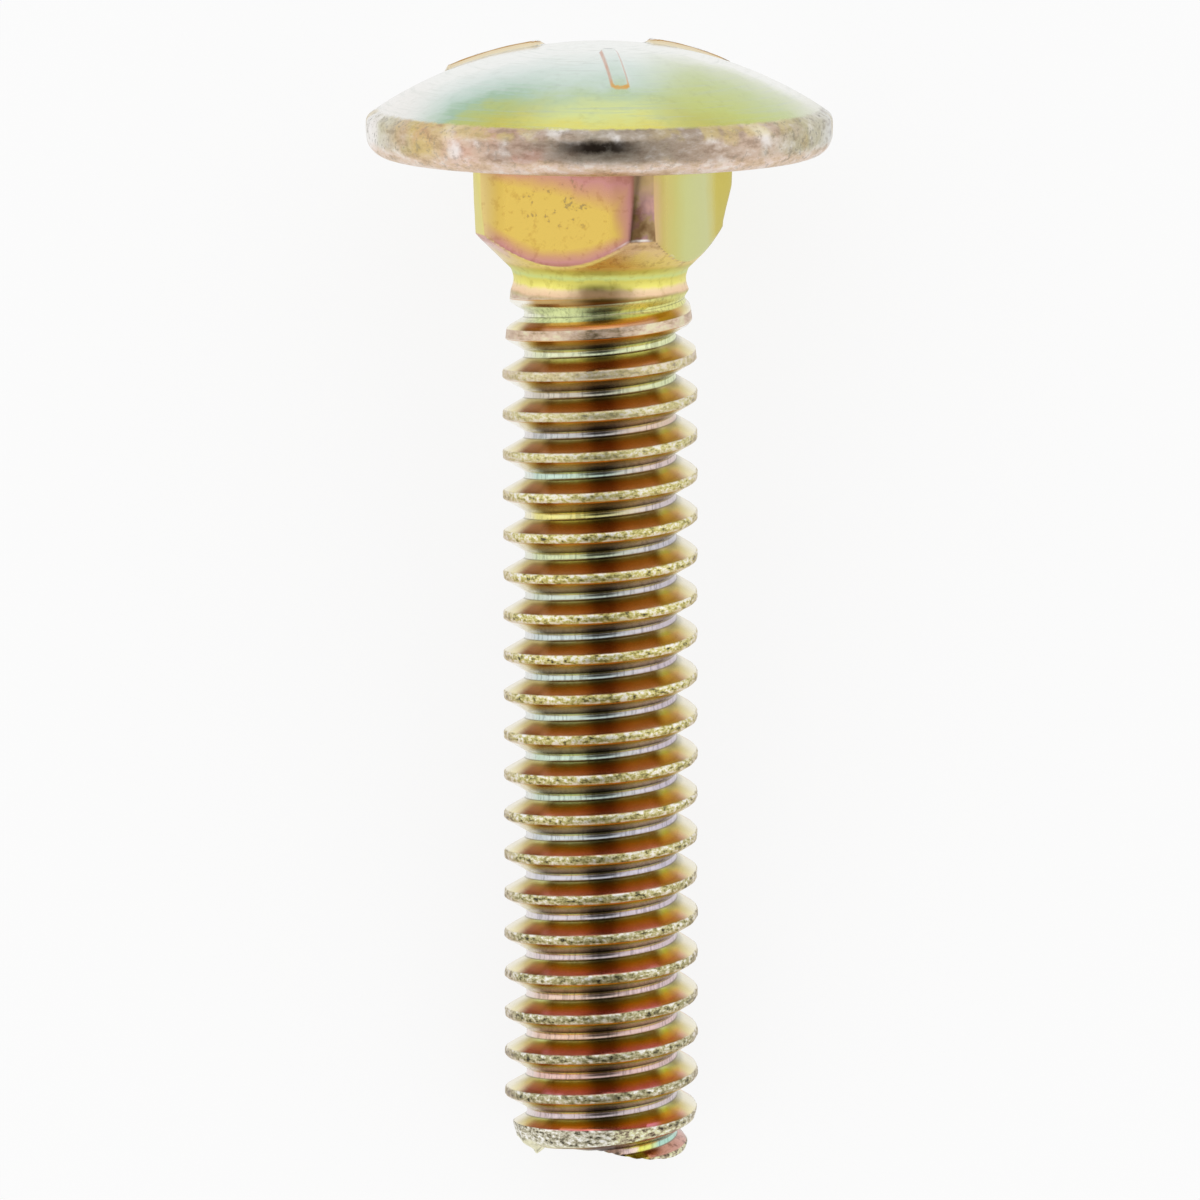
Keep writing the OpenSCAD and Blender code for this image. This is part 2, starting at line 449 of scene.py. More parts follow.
def end_height(turn, size):
    """Height of the end: flat, with the lip where the last ridge runs out, and one small burr."""
    away = abs(((turn - size["Lip turn"] + 3 * math.pi).math("MODULO", TAU)) - math.pi)
    lip_rise = off_lip(away / (size["Lip span"] * 0.5))
    burr = abs(turn - (TAU + BURR_TURN)).fade(BURR_HALF, 0.0) * BURR_H
    return size["Lip height"] * lip_rise - size["Length"] - burr


def thread_grid(bench, size, rows_per_turn, rows):
    """Thread, bevelled end and end face: each row climbs one pitch in a turn."""
    grid, column, row = rolled_grid(bench, THREAD_COLUMNS, rows)
    turn = column * (TAU / THREAD_COLUMNS)
    lap = (row / rows_per_turn + 1e-4).math("FLOOR")
    share, _, drop = outline_spot(bench, size["Thread outline"], row - lap * rows_per_turn)
    # The first row starts on a crest's helix, just above where the rows are let go
    first = -CREST_START + math.ceil((CREST_START + ROWS_START) / PITCH + 1) * PITCH
    free_z = first - size["Pitch"] * (lap - turn / TAU) - drop
    end_z = end_height(turn, size)
    height = free_z.low(ROWS_START).high(end_z)
    full = size["Root radius"] + share * (size["Crest radius"] - size["Root radius"])
    below_neck = ((-NECK_L - height) / SHOULDER_L).clamp()
    base = size["Shoulder radius"] - (below_neck * math.pi).sine() * size["Shoulder hollow"]
    rise = ((THREAD_TOP - height) / size["Crest run-in"]).clamp()
    sink = ((THREAD_TOP - height) / size["Groove run-in"]).clamp()
    cap = (size["Crest radius"] - size["Shoulder radius"]) * rise
    grown = base + (full - base).high(0).low(cap) + (full - base).low(0) * sink
    spot = bench.vector(turn.sine() * 3, turn.cosine() * 3, height)
    wear = CREST_WEAR - height * WEAR_PER_MM
    worn = (bench.noise(spot, 2.6, 3.0) - 0.62).low(0) * wear * share ** 4 * rise
    # The bevel cuts the ridges off, and past the end the rows run in to the middle
    limit = size["End radius"] + size["End slope"] * (height - end_z)
    held = bench.node("ShaderNodeMath", {"operation": "SMOOTH_MIN"}, {
        0: grown + worn, 1: limit, 2: BEVEL_BLEND,
    })
    inward = ((end_z - free_z) / (PITCH * FACE_SHARE)).clamp()
    radius = held * (1 - inward)
    flat_z = size["Lip height"] - size["Length"]
    face_spot = bench.vector(turn.sine() * radius, turn.cosine() * radius, 0.0)
    rough_end = bench.noise(face_spot, 1.4, 3.0) - 0.4
    face_z = (flat_z - end_z) * inward.fade(0, 0.4) + inward.fade(0, 0.2) * (0.06 + rough_end * 0.12)
    return stand(bench, grid, radius, turn, height + face_z)


def bolt_tree(inputs, rings, rows_per_turn, rows):
    tree = bpy.data.node_groups.new("carriage bolt skin", "GeometryNodeTree")
    size = add_inputs(tree, inputs)
    tree.interface.new_socket(name="Geometry", in_out="OUTPUT", socket_type="NodeSocketGeometry")
    bench = Wire(tree)
    join = tree.nodes.new("GeometryNodeJoinGeometry")
    for part in (head_grid(bench, size, rings), thread_grid(bench, size, rows_per_turn, rows)):
        tree.links.new(part.socket, join.inputs[0])
    welded = bench.node("GeometryNodeMergeByDistance", {}, {
        "Geometry": Wire(tree, join.outputs[0]), "Distance": WELD_GAP,
    })
    placed = bench.node("GeometryNodeTransform", {}, {
        "Geometry": welded, "Translation": seat,
        "Rotation": (lie_tilt - math.pi / 2, 0, 0), "Scale": (MM, MM, MM),
    })
    crease = bench.node("GeometryNodeInputMeshEdgeAngle").above(SHARP_EDGE)
    smooth = bench.node("GeometryNodeSetShadeSmooth", {"domain": "FACE"}, {
        "Geometry": placed, "Shade Smooth": True,
    })
    edged = bench.node("GeometryNodeSetShadeSmooth", {"domain": "EDGE"}, {
        "Geometry": smooth, "Selection": crease, "Shade Smooth": False,
    })
    real = bench.node("GeometryNodeRealizeInstances", {}, {"Geometry": edged})
    plated = bench.node("GeometryNodeSetMaterial", {}, {"Geometry": real, "Material": size["Material"]})
    tree.links.new(plated.socket, tree.nodes.new("NodeGroupOutput").inputs[0])
    return tree


def made_by_tree(name, tree, inputs):
    """The tree's result as a plain mesh object."""
    holder = bpy.data.objects.new(name + "_holder", bpy.data.meshes.new(name + "_holder"))
    bpy.context.scene.collection.objects.link(holder)
    modifier = holder.modifiers.new("skin", "NODES")
    modifier.node_group = tree
    for item in tree.interface.items_tree:
        if item.in_out == "INPUT":
            modifier[item.identifier] = inputs[item.name][1]
    finished = holder.evaluated_get(bpy.context.evaluated_depsgraph_get())
    mesh = bpy.data.meshes.new_from_object(finished)
    bpy.data.objects.remove(holder)
    piece = bpy.data.objects.new(name, mesh)
    bpy.context.scene.collection.objects.link(piece)
    return piece


def carriage_bolt(material):
    head_rings = head_outline()
    thread_rows = thread_outline()
    outlines = [outline_object("head outline", head_rings), outline_object("thread outline", thread_rows)]
    for outline in outlines:
        bpy.context.scene.collection.objects.link(outline)
    rows_per_turn = len(thread_rows)
    rows = math.ceil((SHANK_L + ROWS_START) / PITCH + SPARE_TURNS) * rows_per_turn
    inputs = {
        "Head outline": ("Object", outlines[0]),
        "Thread outline": ("Object", outlines[1]),
        "Material": ("Material", material),
        "Dash length": ("Float", DASH_L),
        "Dash width": ("Float", DASH_W),
        "Dash height": ("Float", min(DASH_H, DASH_WORN_H)),
        "Dash middle": ("Float", DASH_MID),
        "Neck width": ("Float", NECK_W),
        "Neck corner": ("Float", NECK_CORNER_R),
        "Shoulder radius": ("Float", SHOULDER_R),
        "Shoulder hollow": ("Float", SHOULDER_HOLLOW),
        "Crest radius": ("Float", CREST_R),
        "Root radius": ("Float", ROOT_R),
        "Pitch": ("Float", PITCH),
        "Groove run-in": ("Float", GROOVE_RUN_IN),
        "Crest run-in": ("Float", CREST_RUN_IN),
        "Length": ("Float", SHANK_L),
        "End radius": ("Float", END_R),
        "End slope": ("Float", END_SLOPE),
        "Lip height": ("Float", LIP_H),
        "Lip turn": ("Float", LIP_TURN),
        "Lip span": ("Float", LIP_SPAN),
    }
    tree = bolt_tree(inputs, len(head_rings), rows_per_turn, rows)
    bolt = made_by_tree("carriage_bolt_skin", tree, inputs)
    for outline in outlines:
        bpy.data.objects.remove(outline)
    return bolt


def bolt_skin(bench):
    """Where a point of the skin lies in the bolt's own frame, in millimetres, and its noises."""
    back = (lying.inverted() @ Vector((0, 0, 0))) / MM
    place = bench.node("ShaderNodeMapping", {}, {
        "Vector": bench.node("ShaderNodeTexCoord", out="Object"),
        "Location": back,
        "Rotation": (math.pi / 2 - lie_tilt, 0, 0),
        "Scale": (1 / MM, 1 / MM, 1 / MM),
    })
    x, y, z = place.split()
    radius = (x * x + y * y) ** 0.5
    turned = bench.vector(x / radius * 2.4, y / radius * 2.4, radius * 8)
    lines = bench.vector(x * 10, y * 10, z * 1.2)
    dabs = bench.vector(x * 4.2, y * 4.2, z * 9)
    rubbed = bench.vector(x * 1.4, y * 1.4, z * 3.4)
    return SimpleNamespace(
        x=x, front=-y, depth=-z, z=z, radius=radius, turn=x.math("ARCTAN2", -y),
        cloud=bench.noise(place, 0.4, 3.0),
        blot=bench.noise(place, 1.3, 3.0),
        grain=bench.noise(place, 3.4, 4.0, 0.65),
        fine=bench.noise(place, 9.0, 3.0, 0.7),
        soft=bench.noise(place, 0.62, 1.0, 0.4),
        turned=bench.noise(turned, 1.0, 4.0, 0.6),
        lines=bench.noise(lines, 1.0, 3.0),
        dabs=bench.noise(dabs, 1.0, 3.0, 0.6),
        rubbed=bench.noise(rubbed, 1.0, 5.0, 0.72),
    )


def dome_film(skin):
    """Bands of film colour across the dome, paler at its ends, and browned dashes."""
    waver = skin.cloud.sway(1.3) + skin.blot.sway(1.1) + skin.turned.sway(0.8)
    across = (skin.front + waver - 0.15) / HEAD_R
    left = across.shades(
        (0.2, "f1f3f0"), (0.4, "dbe5e0"), (0.55, "c0d5c9"), (0.62, "a5c3a8"),
        (0.69, "b6c480"), (0.79, "c6c368"), (0.92, "dacb58"),
    )
    middle = across.shades(
        (0.2, "f1f3ef"), (0.45, "dce7e1"), (0.6, "cbdccf"),
        (0.71, "bfd2ae"), (0.84, "dae29a"), (0.95, "e4dc78"),
    )
    right = across.shades(
        (0.1, "f2f3ee"), (0.28, "d1d9b8"), (0.46, "c5d19a"),
        (0.68, "c6ce7c"), (0.82, "c4c26c"), (0.94, "dccc70"),
    )
    film = left.tinted(skin.x.fade(-3.2, -0.8), middle).tinted(skin.x.fade(0.8, 3.2), right)
    film = film.tinted(skin.x.fade(-4.4, -6.4) * 0.9, tint("f0ede9"))
    film = film.tinted(skin.x.fade(5.6, 7.1) * 0.9, tint("dcdccc"))
    raised = dash_share(skin.x, -skin.front, DASH_L, DASH_W, DASH_MID)
    film = film.tinted(skin.turned.fade(0.5, 0.3) * 0.3, tint("bcc6bc"))
    film = film.dimmed(skin.grain.fade(0.5, 0.3) * 0.15, tint("c8c2bc"))
    film = film.tinted(raised.fade(0.5, 0.9) * abs(skin.turn).fade(0.6, 1.4) * 0.9, tint("fcfcfb"))
    flank = raised.band(0.6, 0.25, 0.25) * (0.4 + skin.grain * 0.9).clamp()
    film = film.tinted(flank, (skin.radius / HEAD_R).shades(
        (0.24, "8a6c50"), (0.32, "d0a896"), (0.62, "cfa48e"), (0.68, "dda24a"),
    ))
    at_side = abs(skin.turn).fade(0.8, 1.4)
    film = film.tinted(raised.band(0.45, 0.42, 0.08) * at_side * 0.9, tint("eadbb8"))
    brown_edge = raised.band(0.86, 0.1, 0.1) * at_side * (0.5 + skin.grain * 0.8).clamp()
    return film.tinted(brown_edge, tint("b98a40"))


def rim_film(skin):
    """The rim, matt and a little rough: pink and yellow patches, paler to the sides and below, with a patch
    of painted shade at its middle where it faces up.
    """
    round_it = skin.turn / math.pi + 0.5 + skin.blot.sway(0.16)
    film = round_it.shades(
        (0.05, "f0eeea"), (0.14, "d2ceb2"), (0.22, "d6be86"), (0.3, "dcc2ac"), (0.37, "c2a896"),
        (0.5, "b3a898"), (0.62, "ab9886"), (0.73, "cfb8a5"), (0.84, "c1ba9c"), (0.95, "dddcd6"),
    )
    pink = skin.cloud.fade(0.47, 0.38) * abs(skin.turn).fade(1.3, 0.8)
    film = film.tinted(skin.blot.fade(0.56, 0.74) * 0.6, tint("f0ece8")).tinted(pink * 0.5, tint("cf9d8c"))
    film = film.dimmed(skin.rubbed.fade(0.52, 0.36) * 0.5, tint("b9aba0"))
    film = film.tinted(skin.rubbed.fade(0.5, 0.8) * 0.5, tint("f5f1ed"))
    patch = skin.soft + skin.grain.sway(0.15)
    film = film.tinted(patch.fade(0.56, 0.68) * 0.75, tint("f8f4f1"))
    film = film.tinted(patch.fade(0.42, 0.32) * 0.4, tint("dcc684"))
    # Painted shade: a dark patch at the rim's middle, where it faces up
    painted_rim_shade = abs(skin.turn + skin.turned.sway(0.3)).fade(0.2, 0.04)
    painted_rim_shade = painted_rim_shade * (skin.z + skin.grain.sway(0.3)).band(0.94, 0.18, 0.25)
    film = film.dimmed(painted_rim_shade * 0.95, tint("3a302a"))
    below = skin.rubbed.shades((0.35, "cdb094"), (0.45, "e2c9ac"), (0.52, "ead2c2"), (0.62, "f4e8dd"))
    film = film.tinted((skin.z + skin.blot.sway(0.4)).fade(0.6, 0.25) * 0.85, below)
    yellowed = skin.z.fade(1.0, 1.25) * skin.blot.fade(0.42, 0.56) * abs(skin.turn).fade(1.3, 0.7)
    film = film.tinted(yellowed * abs(skin.turn).fade(0.15, 0.4) * 0.4, tint("e4d27c"))
    specks = (skin.grain + skin.fine.sway(0.9)).fade(0.44, 0.3)
    return film.tinted(specks * (0.3 + abs(skin.turn).fade(0.5, 1.3) * 0.4), tint("8b8478"))


def neck_film(skin):
    """The square: golden left face with pink-brown borders, grey-green right face, brown corner with a
    strip of painted shade where it faces up.
    """
    cone_slope = NECK_CONE_L / (NECK_CORNER - NECK_DRAFT - SHOULDER_R)
    above_cone = skin.z + NECK_L - (skin.radius - SHOULDER_R) * cone_slope
    left_turn = NECK_TURN - math.pi / 4
    right_turn = NECK_TURN + math.pi / 4
    along_left = skin.x * math.cos(left_turn) - skin.front * math.sin(left_turn)
    along_right = skin.x * math.cos(right_turn) - skin.front * math.sin(right_turn)
    out_left = skin.x * math.sin(left_turn) + skin.front * math.cos(left_turn)
    out_right = skin.x * math.sin(right_turn) + skin.front * math.cos(right_turn)
    waver = skin.cloud.sway(0.7) + skin.blot.sway(0.3)
    top_band = skin.depth / (0.45 + (along_left + NECK_W / 2).high(0) * 0.2)
    border = top_band.low((2.8 - along_left) / 0.9).low(above_cone / 0.62 + 0.1) + waver
    left = border.shades(
        (0.05, "b27c64"), (0.3, "c98f88"), (0.58, "cf9d78"), (0.8, "d8b068"), (1.0, "dfbf60"),
    )
    left = left.tinted(along_left.fade(-1.9, -2.6) * 0.8, tint("dfc88a"))
    off_middle = ((along_left - 0.05) / 1.2) ** 2 + ((skin.depth - 1.25) / 0.8) ** 2
    specks = (skin.grain + off_middle * 0.02).fade(0.41, 0.35) * off_middle.fade(1.6, 0.7)
    left = left.tinted(specks * 0.6, tint("98906c"))
    left = left.dimmed(skin.grain.fade(0.48, 0.34) * 0.3, tint("c8a890"))
    right = ((along_right + 2.8) / 5.6 + waver * 0.2).shades(
        (0.0, "dcb88c"), (0.14, "d2bf66"), (0.3, "cdc66c"),
        (0.45, "ccce84"), (0.7, "ccce90"), (0.85, "d0c264"),
    )
    right = right.tinted(skin.depth.fade(0.7, 0.1) * 0.7, tint("d2c660"))
    corner = skin.blot.shades(
        (0.3, "8d6f4c"), (0.42, "ab9069"), (0.5, "b08a86"), (0.6, "c79c92"), (0.72, "d9b1a4"),
    )
    corner = corner.tinted(skin.depth.fade(1.1, 0.6) * 0.7, tint("c4a878"))
    # Painted shade down the part of the front corner that faces up
    painted_corner_shade = (skin.turn + skin.grain.sway(0.14)).fade(0.38, 0.31)
    painted_corner_shade = painted_corner_shade * (skin.depth + skin.grain.sway(1)).fade(0.9, 1.5)
    corner = corner.dimmed(painted_corner_shade * (0.5 + skin.grain * 0.6), tint("a8937a"))
    corner = corner.tinted(skin.turn.fade(0.0, -0.6).high(skin.turn.fade(0.9, 1.4)), tint("e4d98a"))
    film = corner.tinted((out_left - NECK_W / 2 + FACE_MARGIN).fade(0, FACE_SOFT), left)
    film = film.tinted((out_right - NECK_W / 2 + FACE_MARGIN).fade(0, FACE_SOFT), right)
    cone = (skin.turn / math.pi + 0.5 + skin.blot.sway(0.15)).shades(
        (0.15, "d8aaa4"), (0.32, "ebd0a0"), (0.5, "e2bf88"),
        (0.6, "dab88c"), (0.7, "ecd078"), (0.85, "e8d6a0"),
    )
    cone = cone.tinted((skin.depth + skin.blot.sway(0.8)).fade(2.6, 3.1) * 0.8, tint("dfc660"))
    on_cone = above_cone.fade(0.05, -0.01) * skin.depth.fade(2.2, 2.3)
    cone = cone.dimmed(skin.grain.fade(0.5, 0.36) * 0.35, tint("a89068"))
    edge = above_cone.band(0.07, 0.03, 0.05) * skin.turn.band(0.45, 0.25, 0.3) * skin.blot.fade(0.35, 0.6)
    return film.tinted(on_cone, cone).tinted(edge, tint("f6efe6"))


def shoulder_film(skin):
    """Rings of yellow, green and pink round the shoulder, in shade where the thread's first turn runs in.
    """
    film = ((skin.depth - 3.2) / 1.2 + skin.blot.sway(0.14) + skin.grain.sway(0.1)).shades(
        (0.0, "dcc062"), (0.12, "ccc25c"), (0.24, "d6d474"), (0.34, "d2dc8c"), (0.42, "dfd66c"),
        (0.58, "f2ea80"), (0.68, "f8deb4"), (0.8, "f4d2ae"), (0.92, "a39a4c"),
    )
    shade = abs(skin.turn - FRONT_TURN + skin.blot.sway(0.4)).fade(0.5, 0.1)
    shade = shade * (skin.depth + skin.blot.sway(0.3)).fade(3.75, 4.05)
    film = film.dimmed(skin.grain.fade(0.5, 0.35) * 0.25, tint("b8a878"))
    return film.dimmed(shade * 0.8, tint("8c7c60"))


def thread_film(skin):
    """Pale roots whose colour drifts along the bolt, golden-brown flanks and speckled crests, with painted
    shade where the thread faces up and painted highlights at its sides.
    """
    climb = (skin.z + CREST_START) / PITCH - skin.turn / TAU
    over = climb - climb.math("ROUND")
    gap = abs(over) * PITCH
    head_side = over.above(0)
    low = (skin.depth / SHANK_L).clamp()
    flank = ((gap - CREST_FLAT / 2) / (PITCH / 2 - CREST_FLAT / 2 - ROOT_FLAT / 2)).clamp()
    drift = flank + skin.cloud.sway(0.4) + skin.lines.sway(0.15)
    upper = drift.shades(
        (0.0, "a9846f"), (0.25, "c2895c"), (0.55, "d49d4a"), (0.72, "c4b058"), (0.9, "bfb27a"),
    )
    upper_low = drift.shades(
        (0.0, "a26760"), (0.25, "d1727e"), (0.55, "e1a022"), (0.75, "cfc448"), (0.9, "cdd794"),
    )
    upper = upper.tinted(low.fade(0.45, 0.95), upper_low)
    lower = drift.shades(
        (0.0, "b89c70"), (0.12, "c2a672"), (0.5, "ad874e"), (0.82, "7c592a"), (1.0, "5a4522"),
    )
    # The thread's flanks carry painted shade where they face up, and painted highlights, pale, at the
    # bolt's two sides.
    # Light meets them twice in the middle and once further round, so each zone has a painted tint of its
    # own:
    # one below 1 darkens and one above 1 brightens
    aside = abs(skin.turn - FRONT_TURN)
    at_sides = aside.fade(2.1, 1.6)
    facing_up = aside.fade(0.42, 0.06)
    glow = drift.shades((0.1, "eee2b0"), (0.6, "cdba6e"), (0.95, "b9ab68"))
    upper = upper.dimmed(facing_up, (1.66, 1.62, 1.34, 1))
    upper = upper.dimmed(aside.band(0.46, 0.14, 0.2), (1.2, 1.32, 1.36, 1))
    off_root = drift.fade(0.98, 0.7)
    upper = upper.dimmed(skin.turn.band(-0.86, 0.2, 0.14) * off_root, (0.48, 0.34, 0.07, 1))
    upper = upper.dimmed(skin.turn.band(0.84, 0.18, 0.14) * off_root, (0.76, 0.8, 0.1, 1))
    upper = upper.tinted(skin.turn.band(0.72, 0.1, 0.3) * drift.fade(0.5, 0.9) * 0.75, tint("dcd49a"))
    upper = upper.tinted(skin.turn.band(1.02, 0.06, 0.16) * 0.45, tint("ab8a58"))
    upper = upper.tinted(aside.fade(0.94, 1.2) * at_sides, glow)
    upper = upper.tinted(aside.fade(1.15, 1.5) * at_sides * 0.7, tint("f8f4e6"))
    upper = upper.dimmed(skin.turn.fade(0.95, 1.15) * drift.fade(0.6, 0.9), (0.64, 0.64, 0.6, 1))
    # Painted shade on the flanks facing the tail where they face up, and a painted highlight at the sides
    lower = lower.dimmed(facing_up, (0.26, 0.155, 0.075, 1))
    lower = lower.tinted(aside.fade(0.8, 1.06) * at_sides, tint("f8f4e8"))
    # The roots: each turn of the groove has its own pale film, which changes from left to right
    lap = (2 - climb + skin.blot.sway(0.8)) / ROOT_LAPS
    root_left = lap.shades(
        (0.025, "e8edc8"), (0.06, "dfe3be"), (0.105, "ccc3b4"), (0.145, "c3c0c0"), (0.187, "c5dccd"),
        (0.23, "eae08c"), (0.27, "d1dab0"), (0.34, "cbd5d6"), (0.45, "cddcd2"), (0.5, "c7dbc5"),
        (0.58, "cdcfd8"), (0.68, "d6c8cc"), (0.75, "e8c6ae"), (0.82, "e0bcb4"), (0.9, "c4cad6"),
    )
    root_right = lap.shades(
        (0.025, "e4e28c"), (0.06, "e2e8b6"), (0.105, "d8dfb2"), (0.15, "dbbfae"), (0.2, "d6c4c4"),
        (0.27, "c6c2ca"), (0.4, "ccbec6"), (0.6, "ccc4d2"), (0.8, "dcbcb8"), (0.92, "c6cdd6"),
    )
    root = root_left.tinted(skin.x.fade(-0.6, 2.0), root_right)
    # The last groove, inside the lip, has patches of its own
    in_lip = climb.fade(LAST_CREST + 0.05, LAST_CREST - 0.05)
    round_lip = skin.turn + skin.blot.sway(0.3)
    root = root.tinted(in_lip, round_lip.shades(
        (0.2, "d9b49c"), (0.36, "f2d6d2"), (0.5, "f0dcc8"),
        (0.58, "e6e266"), (0.72, "dfe27c"), (0.88, "b4dccb"),
    ))
    upper = upper.tinted(in_lip, round_lip.shades(
        (0.2, "2c1a10"), (0.27, "6a4c1c"), (0.34, "cfd43e"),
        (0.56, "d4dc5c"), (0.66, "c2806c"), (0.9, "cf9c8c"),
    ).dimmed(skin.grain.fade(0.54, 0.38) * 0.6, tint("8a6a50")))
    root = root.dimmed(skin.lines.fade(0.54, 0.34) * 0.6, (0.5, 0.5, 0.5, 1))
    # Painted shade on the roots where they face up, a painted shadow on their half under the overhanging
    # flank, and a painted highlight at the left side
    root = root.dimmed(facing_up, (0.84, 0.88, 0.88, 1))
    root = root.dimmed(facing_up * (1 - head_side), (0.48, 0.43, 0.43, 1))
    root = root.tinted(skin.turn.fade(-0.95, -1.2) * at_sides * 0.5, tint("f6f0ec"))
    mottle = skin.dabs + skin.fine.sway(0.5) - low * 0.04 + gap.fade(0.03, 0.11) * 0.06
    # The crests: rubbed specks on yellow, greyer down the bolt, brown and smoother on the first ridge
    crest = mottle.shades(
        (0.27, "4b443a"), (0.36, "948a5c"), (0.44, "c6bc6e"),
        (0.52, "ded598"), (0.59, "efe9d4"), (0.7, "faf8f2"),
    )
    crest_low = mottle.shades(
        (0.28, "302c27"), (0.38, "77735f"), (0.47, "a59f86"), (0.55, "c4c0a8"), (0.66, "efeee8"),
    )
    crest = crest.tinted(low.fade(0.4, 1.0) * 0.8, crest_low)
    # The crests are browner on their tail side, with painted shade there where they face up
    tail_side = (over * PITCH + skin.fine.sway(0.1)).fade(0.02, -0.1)
    crest = crest.dimmed(tail_side, (0.82, 0.74, 0.64, 1))
    crest = crest.dimmed(tail_side * facing_up, (0.75, 0.72, 0.66, 1))
    crest = crest.tinted(climb.fade(-4.5, -0.5) * 0.4, tint("cdc4a4"))
    # Painted shade darkens the first ridge where it faces up
    first_ridge = (skin.rubbed + facing_up * -0.12).shades(
        (0.3, "6d5a44"), (0.42, "c4a890"), (0.5, "dcc2ae"), (0.6, "e6dcbc"),
    )
    crest = crest.tinted(climb.fade(-0.3, 0.6) * 0.85, first_ridge)
    crest = crest.tinted(aside.fade(1.0, 1.35) * 0.3, tint("c4a898"))
    film = lower.tinted(head_side, upper)
    film = film.tinted(gap.band(0.17, 0.015, 0.03) * (1 - head_side) * 0.7, tint("c98c3c"))
    film = film.tinted((gap + climb.fade(0.4, 1.1) * 0.14).fade(0.5, 0.55), root)
    # A thin line of painted shade in the crease where the root meets the flank
    film = film.tinted(gap.band(0.52, 0.012, 0.03) * head_side * 0.6, tint("5c5138"))
    on_crest = gap.fade(0.165, 0.125)
    return film.tinted(on_crest, crest), on_crest


def end_film(skin):
    """The bevelled end: a pale band, and the rough ridge and groove of the torn lip."""
    mottle = skin.dabs + skin.fine.sway(0.6)
    band = mottle.shades(
        (0.3, "2c2822"), (0.4, "8d8672"), (0.48, "bdb69c"), (0.56, "dedaca"), (0.67, "faf8f4"),
    )
    cream_edge = (skin.depth + skin.blot.sway(0.3)).fade(SHANK_L - 0.62, SHANK_L - 0.45)
    band = band.tinted(cream_edge * 0.8, tint("f0eccb"))
    lip = mottle.shades(
        (0.3, "40342a"), (0.4, "8d7c66"), (0.5, "c9bfa0"), (0.58, "e2e2b0"), (0.68, "f4f3ea"),
    )
    return band.tinted(skin.turn.fade(0.05, 0.2) * (2.2 - skin.turn).fade(0.0, 0.3), lip)


def yellow_zinc():
    """Thin yellow-passivated zinc: its film shows other colours on each face of the bolt, with painted
    shade where it faces up and painted highlights at its sides.
    """
    material = bpy.data.materials.new("yellow zinc plate")
    material.use_nodes = True
    tree = material.node_tree
    tree.nodes.clear()
    bench = Wire(tree)
    skin = bolt_skin(bench)
    thread, on_crest = thread_film(skin)
    on_thread = skin.z.fade(THREAD_TOP + 0.08, THREAD_TOP - 0.12)
    on_head = skin.z.above(-0.005)
    on_rim = (skin.radius + skin.grain.sway(0.2)).fade(HEAD_R - 0.44, HEAD_R - 0.3)
    on_rim = on_rim.high(skin.z.fade(0.9, 0.7)) * on_head
    above_end = skin.z - (LIP_H * off_lip(abs((skin.turn - LIP_TURN) / (LIP_SPAN / 2))) - SHANK_L)
    inside_bevel = END_R + above_end * END_SLOPE - skin.radius
    on_end = inside_bevel.fade(0.07, 0.03) * above_end.fade(1.2, 0.9)
    on_end = on_end.high(above_end.fade(0.03, 0.0))
    stem = neck_film(skin).tinted(skin.depth.fade(3.24, 3.4), shoulder_film(skin))
    stem = stem.tinted(on_thread, thread).tinted(on_end, end_film(skin))
    colour = stem.tinted(on_head, dome_film(skin).tinted(on_rim, rim_film(skin)))

    rough_part = (on_crest * on_thread).high(on_rim).high(on_end)
    on_corner = skin.radius.fade(3.5, 3.75) * skin.z.band(-1.3, 1.3, 0.1)
    on_corner = on_corner.high(skin.depth.band(3.85, 0.6, 0.2))
    rough = BRIGHT_ROUGH + rough_part.high(on_corner) * WORN_ROUGH + skin.grain.sway(0.15)
    relief = (skin.grain + skin.fine * 0.5) * (0.12 + rough_part * 0.7) \
        + (skin.turned * on_head + skin.lines * on_thread) * 0.35
    bump = bench.node("ShaderNodeBump", {}, {"Strength": 0.4, "Distance": BUMP_H * MM, "Height": relief})
    surface = bench.node("ShaderNodeBsdfPrincipled", {}, {
        "Base Color": colour, "Metallic": 1.0, "Roughness": rough.clamp(), "Normal": bump,
    })
    bench.node("ShaderNodeOutputMaterial", {}, {"Surface": surface})
    return material


def seen_or_mirrored(bench):
    """1 for the rays by which the camera, metal or glass sees the backdrop."""
    path = bench.node("ShaderNodeLightPath").socket.node.outputs
    camera, glossy, through = (
        Wire(bench.tree, path[name]) for name in ("Is Camera Ray", "Is Glossy Ray", "Is Transmission Ray")
    )
    return camera.high(glossy).high(through)


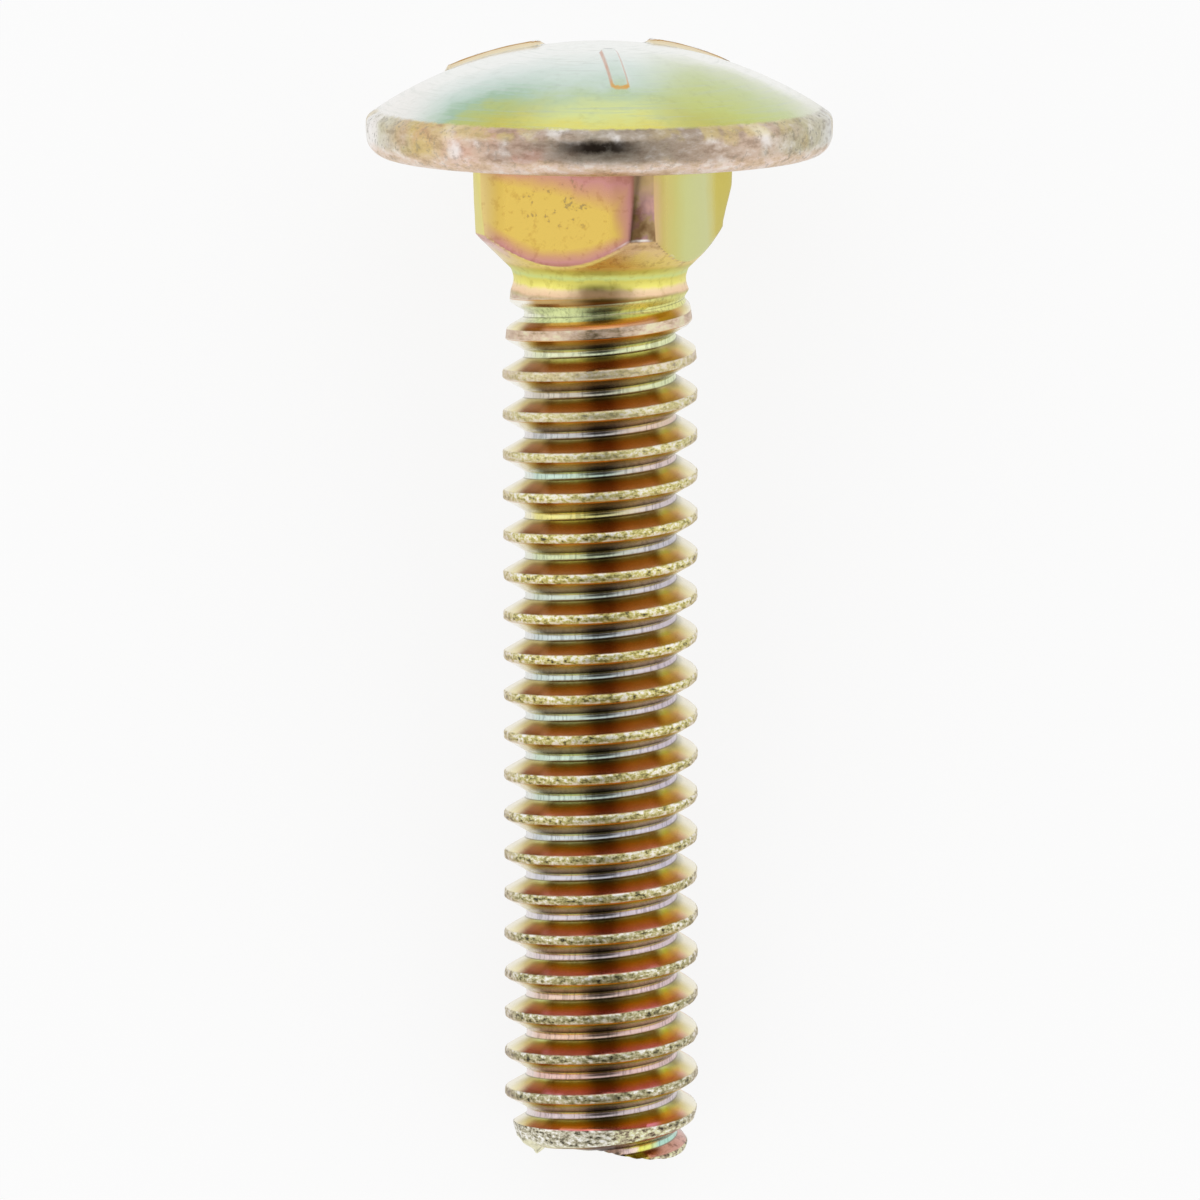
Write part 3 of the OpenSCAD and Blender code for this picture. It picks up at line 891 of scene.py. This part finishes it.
def white_room():
    """A white surface and surround, darker straight overhead, and a weak lamp on each side."""
    world = bpy.data.worlds.new("white surround")
    world.use_nodes = True
    world.node_tree.nodes.clear()
    bench = Wire(world.node_tree)
    _, y, z = bench.node("ShaderNodeTexCoord", out="Generated").split()
    towards_opening = z * math.cos(OPENING_LEAN) - y * math.sin(OPENING_LEAN)
    opening = towards_opening.fade(math.cos(0.6), math.cos(0.14))
    strength = (1.1 - seen_or_mirrored(bench) * 0.1) * (1 - opening * 0.92)
    sky = bench.node("ShaderNodeBackground", {}, {"Color": (1, 1, 1, 1), "Strength": strength})
    bench.node("ShaderNodeOutputWorld", {}, {"Surface": sky})
    bpy.context.scene.world = world

    paper = bpy.data.materials.new("pale floor")
    paper.use_nodes = True
    paper.node_tree.nodes.clear()
    bench = Wire(paper.node_tree)
    matt = bench.node("ShaderNodeBsdfDiffuse", {}, {"Color": (0.86, 0.86, 0.86, 1)})
    lit = bench.node("ShaderNodeEmission", {}, {"Color": (1, 1, 1, 1), "Strength": 1.0})
    mixed = bench.node("ShaderNodeMixShader", {}, {0: seen_or_mirrored(bench) * 0.85, 1: matt, 2: lit})
    bench.node("ShaderNodeOutputMaterial", {}, {"Surface": mixed})
    floor_mesh = bpy.data.meshes.new("pale_floor")
    half = FLOOR_HALF
    corners = [(-half, -half, 0), (half, -half, 0), (half, half, 0), (-half, half, 0)]
    floor_mesh.from_pydata(corners, [], [(0, 1, 2, 3)])
    floor_mesh.materials.append(paper)
    floor = bpy.data.objects.new("pale_floor", floor_mesh)
    bpy.context.scene.collection.objects.link(floor)

    for side in (-1, 1):
        lamp = bpy.data.lights.new("side lamp", "AREA")
        lamp.shape = "RECTANGLE"
        lamp.size, lamp.size_y = LAMP_SIZE
        lamp.energy = LAMP_WATTS
        holder = bpy.data.objects.new("side lamp", lamp)
        holder.location = (side * LAMP_ASIDE, 0, LAMP_UP)
        holder.rotation_euler = (Vector((0, 0, 0)) - holder.location).to_track_quat("-Z", "Y").to_euler()
        bpy.context.scene.collection.objects.link(holder)


def photograph_camera():
    """The long lens above the bolt, as far off as the photograph's perspective shows."""
    # In the bolt's own millimetres, from the middle of the face under its head
    aim_down = 14.06
    distance = 278.9
    look_up = math.radians(8.70)
    roll = math.radians(0.122)
    across = -0.0135
    aim = lying @ (Vector((across, 0, -aim_down)) * MM)
    back = distance * math.cos(look_up)
    rise = distance * math.sin(look_up)
    eye = lying @ (Vector((across, -back, rise - aim_down)) * MM)
    up = (lying.to_3x3() @ Vector((math.sin(roll), 0, math.cos(roll)))).normalized()
    ahead = (aim - eye).normalized()
    right = ahead.cross(up).normalized()
    over = right.cross(ahead)
    camera = bpy.data.cameras.new("camera")
    camera.sensor_width = 36
    camera.lens = 266.3
    camera.clip_start = 0.01
    camera.clip_end = 10
    holder = bpy.data.objects.new("camera", camera)
    holder.matrix_world = Matrix.Translation(eye) @ Matrix((right, over, -ahead)).transposed().to_4x4()
    bpy.context.scene.collection.objects.link(holder)
    bpy.context.scene.camera = holder


bolt = carriage_bolt(yellow_zinc())
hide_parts("carriage_bolt")
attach(bolt, "root")
white_room()
photograph_camera()
bpy.context.scene.view_settings.view_transform = "Standard"
